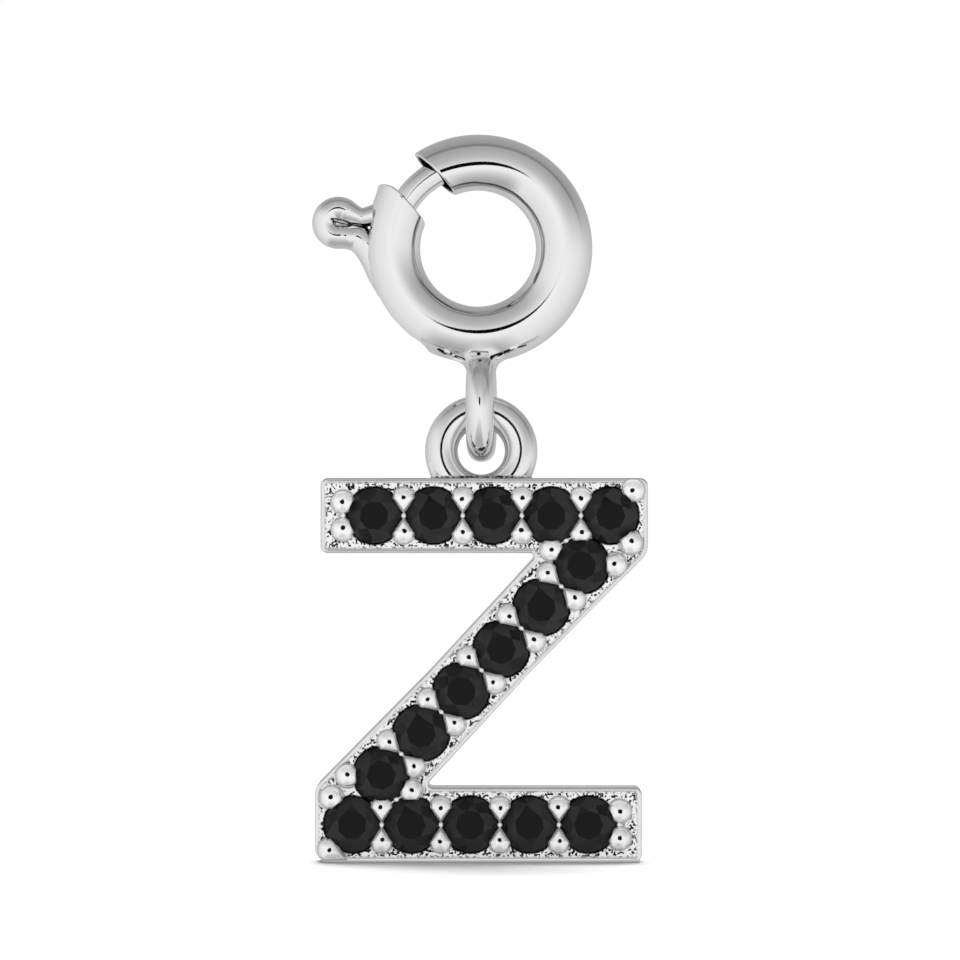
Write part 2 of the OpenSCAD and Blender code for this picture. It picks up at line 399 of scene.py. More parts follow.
def joined(parts):
    """Several surfaces as one."""
    counts = np.cumsum([0] + [len(points) for points, _, _ in parts])
    return (
        np.concatenate([points for points, _, _ in parts]),
        np.concatenate([quads + count for (_, quads, _), count in zip(parts, counts)]),
        np.concatenate([normals for _, _, normals in parts]),
    )


def metal_piece(name, body, node, shape, material):
    """An object of a surface, which rides on a body and stands for a CAD node."""
    points, quads, normals = shape
    mesh = bpy.data.meshes.new(name)
    mesh.from_pydata((points * MM).tolist(), [], quads.tolist())
    mesh.shade_smooth()
    mesh.normals_split_custom_set(normals.tolist())
    mesh.materials.append(material)
    piece = bpy.data.objects.new(name, mesh)
    bpy.context.scene.collection.objects.link(piece)
    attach(piece, body)
    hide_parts(node)
    return piece


# Places that the frame gives


def box_mm(node):
    """Lowest and highest corner of a CAD node in millimetres."""
    low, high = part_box(node)
    return np.array(low) / MM, np.array(high) / MM


def roomy_box(node):
    """The same with the room that a grid leaves round a piece."""
    low, high = box_mm(node)
    return low - GRID_ROOM, high + GRID_ROOM


def joint_mm(name):
    """Where a joint is, in millimetres."""
    joint = next(joint for joint in frame["joints"] if joint["name"] == name)
    return np.array(joint["pos_m"]) / MM


# The origin is the inside top of the ring, so the ring's middle is the hole's radius under it
RING = joint_mm("trigger")
RING_OUT = box_mm("ring_shell")[1][0]
TUBE_R = (RING_OUT + RING[2]) / 2 - INSIDE_CAD
RING_R = RING_OUT - TUBE_R - INSIDE_CAD
PIVOT = joint_mm("letter_swing")
LETTER_LOW, LETTER_HIGH = box_mm("letter")
LETTER = np.array([PIVOT[0], 0, LETTER_LOW[2] + LETTER_H / 2])
STONE_NAMES = [f"stone_{i:02d}" for i in range(1, 17)]


def stone_places():
    """Middles of the stones on the letter's face, from the letter's middle: X and Z."""
    middles = [sum(box_mm(name)) / 2 - LETTER for name in STONE_NAMES]
    return np.array([[m[0], m[2]] for m in middles])


STONES = stone_places()
TOP_ROW, DIAGONAL_ROW = STONES[:5], STONES[5:11]


# Ring clasp


def tube_distance(x, y, z):
    """Distance from the tube's middle line.

    The top of the tube is pressed a little off round, and the lip under the opening flares out.
    """
    out = np.hypot(x, z)
    angle = np.degrees(np.arctan2(z, x)) % 360
    pressed = np.clip(1 - np.abs(angle - PRESSED_AT) / PRESSED_HALF, 0, 1)
    shear = TOP_SHEAR * pressed * pressed * (3 - 2 * pressed)
    return np.hypot((out - flare(angle) - shear * y - RING_R) / np.sqrt(1 - shear * shear), y)


def flare(angle):
    """How far the tube swings out towards its lower lip."""
    near = np.clip((FLARE_FROM - angle) / FLARE_OVER, 0, 1)
    return LIP_FLARE * near**2 * (angle > GAP_ANGLE)


def soldered_body(points):
    """The ring without its hollow, and the eye soldered on."""
    tube = tube_distance(*(points - RING).T)
    return rounded_union(tube - TUBE_R, eye_field(points), SOLDER_FILLET)


def ring_shell_field(points):
    """The hollow ring with its opening and slot, and the soldered eye."""
    x, y, z = (points - RING).T
    out = np.hypot(x, z)
    angle = np.degrees(np.arctan2(z, x)) % 360
    body = soldered_body(points)
    low = (z < SOLDER_TOP) & (y < 0)
    body[low] = rounded_union(body[low], wires_field(points[low], RIDGES), FINE_ROUND)
    body[low] = rounded_cut(body[low], wires_field(points[low], PITS + HOLES), FINE_ROUND)
    body = rounded_cut(body, tube_distance(x, y, z) - (TUBE_R - TUBE_WALL), FINE_ROUND)
    body = rounded_cut(body, gap_field(x, y, z), LIP_ROUND)
    return rounded_cut(body, slot_field(out, y, angle), LIP_ROUND)


def gap_field(x, y, z):
    """The opening, leant so that one mouth shows a little, and curved at the lower lip's corner."""
    ray = math.radians(GAP_ANGLE)
    across = -x * math.sin(ray) + z * math.cos(ray) - math.tan(math.radians(GAP_LEAN)) * y
    along = x * math.cos(ray) + z * math.sin(ray)
    near = np.clip((along - RING_OUT + BLUNT_FROM) / BLUNT_OVER, 0, 1)
    blunt = LIP_BLUNT * near**2 * (across > 0)
    return np.maximum(np.abs(across) - GAP_WIDTH / 2 - blunt, GAP_FROM - along)


def slot_field(out, y, angle):
    """The slot that the knob slides along, open to the outside of the ring."""
    middle, half = (SLOT_FROM + SLOT_TO) / 2, (SLOT_TO - SLOT_FROM) / 2
    half_arc = math.radians(half) * RING_OUT - SLOT_WIDTH / 2
    arc = np.radians(np.abs(angle - middle)) * RING_OUT
    beyond = np.maximum(arc - half_arc, 0)
    return np.maximum(np.hypot(beyond, y) - SLOT_WIDTH / 2, RING_R - out)


def squarish(a, b):
    """Like the distance from the middle, but the same all round a slightly squared circle."""
    return (np.abs(a) ** SQUARENESS + np.abs(b) ** SQUARENESS) ** (1 / SQUARENESS)


def eye_field(points):
    """The eye: a wire ring of oval section that hangs under the tube, turned a little."""
    low = box_mm("ring_shell")[0][2]
    middle = np.array([PIVOT[0], 0, low + EYE_R + EYE_HALF_DEPTH])
    x, y, z = (points - middle).T
    yaw = math.radians(EYE_YAW)
    x, y = x * math.cos(yaw) - y * math.sin(yaw), x * math.sin(yaw) + y * math.cos(yaw)
    across = x / EYE_HALF_WIDTH
    out = (squarish(y, z) - EYE_R) / EYE_HALF_DEPTH
    return (squarish(across, out) - 1) * EYE_HALF_WIDTH


def on_front(x, z):
    """The point on the front of the soldered body at this X and Z."""
    depths = np.linspace(-2, 0, 400)
    points = np.stack([np.full(400, x), depths, np.full(400, z)], axis=1)
    return points[np.argmax(soldered_body(points) < 0)]


def laid_wires(*places):
    """Short stretches of wire on the front of the body, each from one X and Z to another."""
    return [(on_front(x1, z1), on_front(x2, z2), r) for x1, z1, x2, z2, r in places]


def wires_field(points, wires):
    """Short stretches of wire as one shape."""
    shape = np.full(len(points), np.inf)
    for start, end, r in wires:
        shape = np.minimum(shape, capsule(points, start, end, r, r * 0.7))
    return shape


# What the solder left beside the eye's root: ridges that stand up, pits, and two pin holes.
# Each stretch is X and Z of its start, X and Z of its end, and its radius.
RIDGES = laid_wires(
    (-0.8, -5.12, -0.46, -5.24, 0.045),
    (-0.98, -4.91, -0.67, -5.08, 0.06),
    (0.56, -5.14, 0.86, -4.95, 0.05),
    (1.0, -4.84, 1.2, -4.77, 0.045),
    (-0.15, -5.0, 0.26, -5.0, 0.1),
)
PITS = laid_wires(
    (-1.0, -4.98, -1.19, -4.87, 0.07),
    (-0.42, -5.17, -0.7, -5.06, 0.035),
    (-0.86, -5.0, -0.82, -4.98, 0.045),
    (0.42, -5.11, 0.72, -4.99, 0.05),
    (0.84, -4.95, 1.03, -4.87, 0.06),
    (1.25, -4.8, 1.45, -4.74, 0.035),
)
HOLE_PLACES = ((0.02, -5.0), (0.06, -5.18))
HOLES = [(on_front(x, z) - (0, 0.08, 0), on_front(x, z), 0.05) for x, z in HOLE_PLACES]


def ring_shell(material):
    """Builds the ring clasp's shell, with painted shade in its hollow, its pits and its pin holes,
    and a mark where the solder dulls it.
    """
    low, high = roomy_box("ring_shell")
    grid = (
        steps((low[0], RING_STEP), (-1.35, 0.032), (1.55, RING_STEP), (high[0], 0)),
        steps((low[1], RING_STEP), (-0.85, 0.035), (-0.45, RING_STEP), (high[1], 0)),
        steps((low[2], RING_STEP), (-5.3, 0.03), (-4.68, RING_STEP), (high[2], 0)),
    )
    shape = surface(ring_shell_field, grid)
    piece = metal_piece("ring_shell_look", "clasp", "ring_shell", shape, material)
    tube = tube_distance(*(shape[0] - RING).T)
    # Painted shade: the tube's hollow inside, and the solder's pits and pin holes, are coloured black
    bore_shade = np.clip((TUBE_R - TUBE_WALL + 0.03 - tube) / 0.02, 0, 1)
    pit_shade = np.clip((0.02 - wires_field(shape[0], PITS + HOLES)) / 0.015, 0, 1)
    mark(piece, "painted_dark", np.maximum(bore_shade, pit_shade))
    x, y, z = shape[0].T
    root = np.hypot(x / DULL_HALF_W, (z - DULL_AT) / DULL_HALF_H)
    mark(piece, "dull", np.clip(1.6 - root, 0, 1) * (y < 0))


# Trigger

# Stops of the knob's legs: how far out along its middle line, how far aside of it, and radius
UPPER_PINCH = (KNOB_OUT - 0.66, 0.27, 0.27)
UPPER_ROOT = (RING_R + 0.35, 0.55, 0.4)
LOWER_PINCH = (KNOB_OUT - 0.68, -0.34, 0.36)
LOWER_ROOT = (TAIL_R + 0.05, -0.62, 0.39)


def trigger_field(points):
    """The trigger: a stretch inside the tube, the folded knob, and the tail in the slot."""
    x, y, z = (points - RING).T
    out = np.hypot(x, z)
    angle = np.degrees(np.arctan2(z, x)) % 360
    rod = wire_arc(out, y, angle, RING_R, TRIGGER_D / 2, TIP_ANGLE - TIP_CUT, KNOB_ANGLE - 1)
    end = (TIP_ANGLE - angle) * math.radians(1) * RING_R
    rod = -rounded_union(-rod, -end, TIP_ROUND)
    proud = TAIL_PROUD * np.clip((PROUD_TO - angle) / PROUD_OVER, 0, 1) ** 2
    sunk = TAIL_SUNK * np.clip((angle - SUNK_FROM) / SUNK_OVER, 0, 1) ** 1.3
    tail_r = TAIL_R + proud - sunk
    tail = wire_arc(out, y, angle, tail_r, TRIGGER_D / 2, TAIL_FROM, TAIL_END)
    upper, lower = leg_fields(x, y, z)
    upper = rounded_union(upper, rod, ROD_FILLET)
    lower = rounded_union(lower, tail, TAIL_FILLET)
    return knob_field(x, y, z, rounded_union(upper, lower, LEGS_FILLET))


def knob_axes(x, z):
    """How far out along the knob's middle line, and how far above it."""
    ray = math.radians(KNOB_ANGLE)
    along = x * math.cos(ray) + z * math.sin(ray)
    return along, x * math.sin(ray) - z * math.cos(ray)


def leg(knob, start, end):
    """A stretch of a leg between two stops: out along the knob's line, aside of it, and radius."""
    return capsule(knob, (*start[:2], 0), (*end[:2], 0), start[2], end[2])


def leg_fields(x, y, z):
    """The knob's two legs, each pinched where it leaves the head."""
    knob = np.stack([*knob_axes(x, z), y], axis=1)
    turn = math.radians(FOLD_TURN)
    head, side = KNOB_OUT + FOLD_R * math.cos(turn), FOLD_R * math.sin(turn)
    upper = leg(knob, (head, side, FOLD_WIRE_R), UPPER_PINCH)
    shoulder = leg(knob, UPPER_PINCH, UPPER_ROOT)
    lower = leg(knob, (head, -side, FOLD_WIRE_R), LOWER_PINCH)
    hip = leg(knob, LOWER_PINCH, LOWER_ROOT)
    upper = rounded_union(upper, shoulder, UPPER_FILLET)
    return upper, rounded_union(lower, hip, LOWER_FILLET)


def knob_field(x, y, z, legs):
    """The legs with the bend and the web that join them, and the slit where they nearly touch."""
    along, aside = knob_axes(x, z)
    turn = np.hypot(along - KNOB_OUT, aside)
    angle = np.degrees(np.arctan2(aside, along - KNOB_OUT))
    bend = wire_arc(turn, y, angle, FOLD_R, FOLD_WIRE_R, -FOLD_TURN, FOLD_TURN)
    knob = np.stack([along, aside, y], axis=1)
    web = leg(knob, (KNOB_OUT, 0, SLIT_FLOOR), (KNOB_OUT - WEB_LENGTH, -0.02, SLIT_FLOOR))
    body = np.minimum(np.minimum(legs, bend), web)
    slit = slit_distance(along, aside)
    floor_depth = SLIT_FLOOR + FINE_ROUND
    return rounded_cut(body, np.maximum(slit, floor_depth - np.abs(y)), FINE_ROUND)


def slit_distance(along, aside):
    """Distance outside the almond-shaped slit in the knob."""
    half_l, half_h = SLIT_LENGTH / 2, SLIT_WIDTH / 2
    r = (half_l**2 + half_h**2) / (2 * half_h)
    off = along - (KNOB_OUT - SLIT_BACK)
    rise = aside - SLIT_RISE - SLIT_SLOPE * off
    above, below = np.hypot(off, rise + (r - half_h)), np.hypot(off, rise - (r - half_h))
    return np.maximum(above, below) - r


def trigger(material):
    """Builds the trigger, with painted shade round the slit and down the seam behind it."""
    low, high = roomy_box("trigger")
    grid = (
        steps((low[0], TRIGGER_STEP), (-4.72, 0.024), (-3.6, TRIGGER_STEP), (high[0], 0)),
        steps((low[1], 0.03), (high[1], 0)),
        steps((low[2], TRIGGER_STEP), (-1.25, 0.022), (-0.75, TRIGGER_STEP), (high[2], 0)),
    )
    shape = surface(trigger_field, grid)
    piece = metal_piece("trigger_look", "trigger", "trigger", shape, material)
    x, y, z = (shape[0] - RING).T
    along, aside = knob_axes(x, z)
    # Painted shade: a dark line round the slit and a dark band down the seam's crease
    edge = np.abs(slit_distance(along, aside)) - SLIT_LINE
    behind = KNOB_OUT - SEAM_FROM - along
    beyond = np.abs(behind - SEAM_MIDDLE) - SEAM_HALF_L
    half_seam = SEAM_HALF_W + SEAM_WIDENS * np.clip(behind, 0, 1)
    seam = np.maximum(np.abs(aside - SEAM_RISE) - half_seam, beyond)
    near_middle = np.abs(y) < PAINTED_SHADE_DEPTH
    mark(piece, "painted_dark", np.clip(-np.minimum(edge, seam) / 0.012, 0, 1) * near_middle)


# Letter


def above_face(points):
    """X from the letter's middle, height above the letter's face, and Z from its middle."""
    x, y, z = (points - LETTER).T
    return x, -y - LETTER_T / 2, z


def rounded_corner(before, corner, after, r):
    """Points of the arc that rounds a corner."""
    p = (before - corner) / np.linalg.norm(before - corner)
    q = (after - corner) / np.linalg.norm(after - corner)
    half = math.acos(p @ q) / 2
    middle = corner + (p + q) / np.linalg.norm(p + q) * r / math.sin(half)
    start = corner + p * r / math.tan(half) - middle
    end = corner + q * r / math.tan(half) - middle
    rays = [start + (end - start) * k / 6 for k in range(7)]
    return [middle + r * ray / np.linalg.norm(ray) for ray in rays]


def half_outline(end_r):
    """The upper half of the letter's outline, round the letter's middle.

    end_r is the radius of the corner at the top of the diagonal's end.
    """
    right = LETTER_HIGH[0] - LETTER[0]
    left = 2 * LEAN - right
    top, low = LETTER_H / 2, LETTER_H / 2 - STROKE
    corners = [
        ((-WAIST_W / 2, 0), 0),
        ((right - FOOT_W, low), NOTCH_R),
        ((left, low), CORNER_R),
        ((left, top), CORNER_R),
        ((right, top), end_r),
        ((right, low), SHOULDER_R),
        ((WAIST_W / 2, 0), 0),
    ]
    places = [np.array(place, float) for place, _ in corners]
    half = [places[0]]
    for k in range(1, 6):
        half += rounded_corner(places[k - 1], places[k], places[k + 1], corners[k][1])
    return np.array(half)


OUTLINE = np.concatenate([half_outline(CORNER_R), -half_outline(WORN_R)])


def plate_field(x, t, z):
    """The letter's plate: rounded edges, a smooth rim and the ground a little lower."""
    edge = polygon_distance(np.stack([x, z], axis=1), OUTLINE)
    sink = np.clip((-edge - EDGE_ROUND - 0.02) / (RIM_W - EDGE_ROUND), 0, 1)
    front = t + GROUND_SINK * sink * sink * (3 - 2 * sink)
    face = np.maximum(front, -t - LETTER_T)
    a, b = edge + EDGE_ROUND, face + EDGE_ROUND
    plate = np.minimum(np.maximum(a, b), 0) + np.hypot(np.maximum(a, 0), np.maximum(b, 0))
    return plate - EDGE_ROUND


def seats_field(x, t, z):
    """The room for the stones in the metal, at heights t above the letter's face."""
    nearest = nearest_stone(x, z)
    straight = nearest - SEAT_R
    cone = (nearest - SEAT_R * (t + GIRDLE_H + SEAT_DEPTH) / SEAT_DEPTH) * SEAT_CALM
    return np.maximum(straight, cone)


def loop_field(x, y, z):
    """The loop on top of the letter, from its highest point. It leans a little on its hook."""
    tilt = math.radians(LOOP_TILT)
    depth = y * math.cos(tilt) - z * math.sin(tilt)
    rise = y * math.sin(tilt) + z * math.cos(tilt) + LOOP_R
    return squarish(np.hypot(x, rise) - LOOP_R, depth) - LOOP_WIRE_R


def letter_field(points):
    """The letter's plate with its seats and its loop."""
    x, t, z = above_face(points)
    loop = loop_field(*(points - PIVOT).T)
    body = rounded_union(plate_field(x, t, z), loop, LOOP_FILLET)
    return rounded_cut(body, seats_field(x, t, z), FINE_ROUND)


def letter(material):
    """Builds the letter without its prongs."""
    low, high = roomy_box("letter")
    front, back = -LETTER_T / 2, LETTER_T / 2
    near, far = front - GRID_ROOM, back + GRID_ROOM
    grid = (
        steps((low[0], LETTER_STEP), (high[0], 0)),
        steps((near, 0.04), (front + 0.3, 0.09), (back - 0.2, 0.05), (far, 0)),
        steps((low[2], LETTER_STEP), (high[2], 0)),
    )
    shape = surface(letter_field, grid)
    piece = metal_piece("letter_look", "letter", "letter", shape, material)
    paint_grain(piece, shape[0])


def nearest_stone(x, z):
    """Distance to the middle of the nearest stone."""
    nearest = np.full(len(x), np.inf)
    for place in STONES:
        nearest = np.minimum(nearest, np.hypot(x - place[0], z - place[1]))
    return nearest


def mark(piece, name, values):
    """Keeps a number for each point of a piece, for its material."""
    piece.data.attributes.new(name, "FLOAT", "POINT").data.foreach_set("value", values)


def paint_grain(piece, points):
    """Marks the cast grain between the stones, how pitted it is, the rim, the frost and the seats.
    The pits, the rim and the seat walls get painted shade.

    The sides and the back, where the metal is plain, are a little frosted.
    """
    x, t, z = above_face(points)
    edge = polygon_distance(np.stack([x, z], axis=1), OUTLINE)
    front = np.clip((t + 0.12) / 0.05, 0, 1)
    inner = np.clip((-edge - RIM_W + 0.02) / 0.06, 0, 1)
    loop = loop_field(*(points - PIVOT).T)
    # The seam where the loop meets the plate gets grain and dense pits, and with them the pits'
    # painted shade
    seam = np.clip((0.07 - np.abs(loop)) / 0.03, 0, 1) * (np.abs(z - LETTER_H / 2) < 0.07)
    mark(piece, "grain", np.maximum(front * inner, seam))
    mark(piece, "rim", front * (1 - inner) * np.clip((0.02 - edge) / 0.02, 0, 1))
    mark(piece, "frost", np.maximum(front * inner, SIDE_FROST * (1 - front)) * (edge < 0.02))
    pitted = np.clip(1.5 - np.abs(-edge - 0.27) / 0.2, 0.3, 1)
    mark(piece, "pitted", np.maximum(pitted, 1.9 * seam))
    # Painted shade: the seat walls round the stones are coloured black
    seat = (seats_field(x, t, z) < 0.012) & (t < -0.005) & (t > -SEAT_DEPTH - 0.1)
    mark(piece, "seat", np.where(seat, 1.0, 0.0))


# Prongs


def beside(a, b, side):
    """Place of a prong that holds two neighbouring stones, on one side of the line between them."""
    line = (b - a) / np.linalg.norm(b - a)
    off = math.sqrt((STONE_R + PRONG_OUT) ** 2 - ((b - a) @ (b - a)) / 4)
    return (a + b) / 2 + side * off * np.array([-line[1], line[0]])


def round_stone(stone, angle):
    """Place of a prong at an angle round a stone."""
    ray = math.radians(angle)
    return stone + (STONE_R + PRONG_OUT) * np.array([math.cos(ray), math.sin(ray)])


def prong_places():
    """Prongs, each a place and the point that its foot runs to, and the pairs that a web joins."""
    top = [(beside(a, b, 1), beside(a, b, -1)) for a, b in zip(TOP_ROW, TOP_ROW[1:])]
    end = [round_stone(TOP_ROW[0], 180 + side * FREE_END_SPREAD) for side in (-1, 1)]
    corner = [round_stone(TOP_ROW[4], angle) for angle in CORNER_ANGLES]
    first = round_stone(DIAGONAL_ROW[0], FIRST_ANGLE)
    nest = beside(TOP_ROW[3], DIAGONAL_ROW[0], -1)
    diagonal = [(beside(a, b, 1), beside(a, b, -1)) for a, b in zip(DIAGONAL_ROW, DIAGONAL_ROW[1:])]
    half = pointed(top) + [(place, place) for place in (*end, corner[1], first, nest)]
    webs = top + [tuple(end), (nest, top[3][1]), (top[3][1], corner[1])]
    turned = [(-place, -foot) for place, foot in half]
    wedge = [(corner[0], corner[0]), (-corner[0], round_stone(-TOP_ROW[4], WORN_ANGLE))]
    return half + turned + wedge + pointed(diagonal), webs + [(-a, -b) for a, b in webs] + diagonal


def pointed(pairs):
    """The prongs of pairs, with each foot running in towards the middle between them."""
    return [(a, a + FOOT_SHARE * (b - a)) for pair in pairs for a, b in (pair, pair[::-1])]


PRONGS, WEBS = prong_places()


def dent_place(number, place):
    """Where the small dent on top of a prong is: near its middle, a little off it."""
    side, up = math.sin(2.1 * number), math.cos(1.3 * number)
    return place + DENT_OFF * np.array([side, 1 + up])


def prong_field(points, number):
    """One bead prong: a flattened dome on a low base, cut by the stones that it holds."""
    place, foot = PRONGS[number]
    x, t, z = above_face(points)
    flat = np.stack([x, z], axis=1)
    if np.allclose(place, foot):
        out = np.hypot(*(flat - place).T)
    else:
        out = capsule(flat, place, foot, PRONG_R, FOOT_R) + PRONG_R
    rise = np.maximum(t, 0)
    power = PRONG_SQUARENESS
    dome = ((out / PRONG_R) ** power + (rise / PRONG_H) ** power) ** (1 / power) - 1
    base = np.maximum(out - PRONG_R - BASE_OUT, t - BASE_H)
    bead = rounded_union(dome * PRONG_R, base, FINE_ROUND)
    dot = dent_place(number, place)
    dent = np.sqrt((x - dot[0]) ** 2 + (z - dot[1]) ** 2 + (t - PRONG_H) ** 2) - DENT_R
    bead = rounded_cut(bead, dent, FINE_ROUND)
    edge = polygon_distance(flat, OUTLINE)
    bead = rounded_cut(bead, -PRONG_EDGE - edge, PRONG_EDGE_ROUND)
    return cut_for_stones(np.maximum(bead, -PRONG_ROOT - t), x, t, z)


def web_field(points, start, end):
    """The thin web of metal that is left between two prongs, with a bead at its middle."""
    x, t, z = above_face(points)
    flat = np.stack([x, z, t], axis=1)
    web = capsule(flat, (*start, -WEB_UNDER), (*end, -WEB_UNDER), WEB_R, WEB_R)
    middle = (start + end) / 2
    bead = np.sqrt(((flat - (*middle, WEB_BEAD_H)) ** 2).sum(axis=1)) - WEB_R
    return cut_for_stones(rounded_union(web, bead, WEB_FILLET), x, t, z)


def cut_for_stones(shape, x, t, z):
    """A shape on the letter's face without the room that the stones take."""
    nearest = nearest_stone(x, z)
    widest = STONE_R + STONE_GAP
    room = np.clip(widest - (t - STONE_GAP) * CROWN_SLOPE, STONE_R - PRONG_GRIP, widest)
    return rounded_cut(shape, (nearest - room) * CROWN_CALM, FINE_ROUND)


def local_grid(low, high, spacing):
    """A grid over a box on the letter's face, given by X and Z from the letter's middle."""
    base = LETTER_T / 2
    return (
        steps((LETTER[0] + low[0], spacing), (LETTER[0] + high[0], 0)),
        steps((-base - PRONG_H - 0.08, spacing), (-base + 0.3, 0)),
        steps((LETTER[2] + low[1], spacing), (LETTER[2] + high[1], 0)),
    )


def prongs(material):
    """Builds all the prongs and the webs between them, with marks for the painted shade at their feet
    and in their dents.
    """
    parts = []
    for number, (place, foot) in enumerate(PRONGS):
        low = np.minimum(place - PRONG_R, foot - FOOT_R)
        high = np.maximum(place + PRONG_R, foot + FOOT_R)
        grid = local_grid(low - GRID_ROOM, high + GRID_ROOM, PRONG_STEP)
        parts.append(surface(lambda points, n=number: prong_field(points, n), grid))
    for start, end in WEBS:
        low, high = np.minimum(start, end), np.maximum(start, end)
        grid = local_grid(low - WEB_ROOM, high + WEB_ROOM, WEB_STEP)
        parts.append(surface(lambda points, a=start, b=end: web_field(points, a, b), grid))
    shape = joined(parts)
    piece = metal_piece("prongs", "letter", "letter", shape, material)
    x, t, z = above_face(shape[0])
    # Painted shade: grey low on each prong, and dark marks in the dent on its top
    foot = FOOT_SHADE * np.clip((FOOT_SHADE_H - t) / 0.03, 0, 1)
    nearest = np.full(len(x), np.inf)
    for number, (place, _) in enumerate(PRONGS):
        dot = dent_place(number, place)
        nearest = np.minimum(nearest, np.hypot(x - dot[0], z - dot[1]))
    mark(piece, "foot", foot)
    mark(piece, "dent", np.clip(1.75 - nearest / DENT_R, 0, 1))


# Materials

SILVER_COLOUR = (0.94, 0.94, 0.945, 1)
# Painted shade and painted dark reflections mix the metal towards this colour
PAINTED_DARK_COLOUR = (0.006, 0.006, 0.007, 1)

# What a frost mark takes from metal's shine, and the roughness that frost and dull marks add
FROST_LOSS = 0.4
FROST_ROUGH = 0.25
DULL_ROUGH = 0.28

# Waves of noise to a metre
WIPE_WAVES = 4000
HAND_WAVES = 900
PATCH_WAVES = 500
BEAD_WAVES = 2500
DENT_WAVES = 9000
PIT_WAVES = 14000
CRUMB_WAVES = 16000
RIM_WAVES = 1500
CLOUD_WAVES = 1500

# Depth of bumps in metres
HAND_BUMP = 0.0000012
BEAD_BUMP = 0.000002
GRAIN_BUMP = 0.00002

# The painted dark reflection line on the tube's inner side, as shares of the tube's radius: its place
# and how it wanders
REFLECTION_LINE_IN = 0.66
REFLECTION_LINE_WANDER = 0.14
REFLECTION_LINE_DARK = 0.85


def add(tree, kind, inputs=None, **settings):
    """A shader node with its settings, and its inputs set or linked."""
    made = tree.nodes.new("ShaderNode" + kind)
    for key, value in settings.items():
        setattr(made, key, value)
    for key, value in (inputs or {}).items():
        if isinstance(value, bpy.types.NodeSocket):
            tree.links.new(value, made.inputs[key])
        else:
            made.inputs[key].default_value = value
    return made


def maths(tree, operation, *values):
    """The outcome of one sum on numbers."""
    return add(tree, "Math", dict(enumerate(values)), operation=operation).outputs[0]


def vector(tree, operation, *values):
    """The outcome of one sum on vectors: a number for a length or a dot product."""
    node = add(tree, "VectorMath", dict(enumerate(values)), operation=operation)
    return node.outputs["Value" if operation in ("LENGTH", "DOT_PRODUCT") else "Vector"]


def smooth_step(tree, value, low, high):
    """0 below low, 1 above high and smooth between them."""
    inputs = {"Value": value, "From Min": low, "From Max": high}
    return add(tree, "MapRange", inputs, interpolation_type="SMOOTHSTEP").outputs[0]


def mixed(tree, share, a, b):
    """Colour a where share is 0 and b where it is 1."""
    return add(tree, "Mix", {0: share, 6: a, 7: b}, data_type="RGBA").outputs[2]


def new_material(name):
    """An empty material and its principled shader."""
    material = bpy.data.materials.new(name)
    material.use_nodes = True
    tree = material.node_tree
    tree.nodes.clear()
    shader = add(tree, "BsdfPrincipled")
    add(tree, "OutputMaterial", {"Surface": shader.outputs[0]})
    return material, tree, shader


def noise(tree, place, scale, detail=2.0):
    """A noise pattern with this many waves to a metre."""
    inputs = {"Vector": place, "Scale": scale, "Detail": detail}
    return add(tree, "TexNoise", inputs).outputs[0]


def silver(name, shade_and_bumps, rough, frosted=0):
    """Bright metal. The second argument makes the share of painted shade and painted dark reflection,
    the height of the bumps and their depth in metres.

    rough makes the roughness. frosted names a mark where the surface is a white frost, or is a
    number for all of it.
    """
    material, tree, shader = new_material(name)
    place = add(tree, "TexCoord").outputs["Object"]
    if isinstance(frosted, str):
        bright = maths(tree, "MULTIPLY_ADD", attribute(tree, frosted), -FROST_LOSS, 1.0)
        tree.links.new(bright, shader.inputs["Metallic"])
    else:
        shader.inputs["Metallic"].default_value = 1 - frosted
    painted_dark, height, distance = shade_and_bumps(tree, place)
    colour = mixed(tree, painted_dark, SILVER_COLOUR, PAINTED_DARK_COLOUR)
    tree.links.new(colour, shader.inputs["Base Color"])
    tree.links.new(rough(tree, place), shader.inputs["Roughness"])
    bump = add(tree, "Bump", {"Strength": 1.0, "Distance": distance, "Height": height})
    tree.links.new(bump.outputs[0], shader.inputs["Normal"])
    return material


def wiped(low, high, dull=None):
    """Roughness between two values, in the fine wipe marks of polishing, and more at a mark."""

    def rough(tree, place):
        wipe = noise(tree, place, WIPE_WAVES, 4.0)
        polished = add(tree, "MapRange", {"Value": wipe, "To Min": low, "To Max": high}).outputs[0]
        if dull is None:
            return polished
        return maths(tree, "MULTIPLY_ADD", attribute(tree, dull), DULL_ROUGH, polished)

    return rough


def attribute(tree, name):
    """A number kept at each point of a piece."""
    return add(tree, "Attribute", attribute_name=name).outputs["Fac"]


def marked_shade_and_bumps(tree, place):
    """Painted shade where the marks say so, and the faint waviness of a hand-polished surface."""
    return attribute(tree, "painted_dark"), noise(tree, place, HAND_WAVES), HAND_BUMP


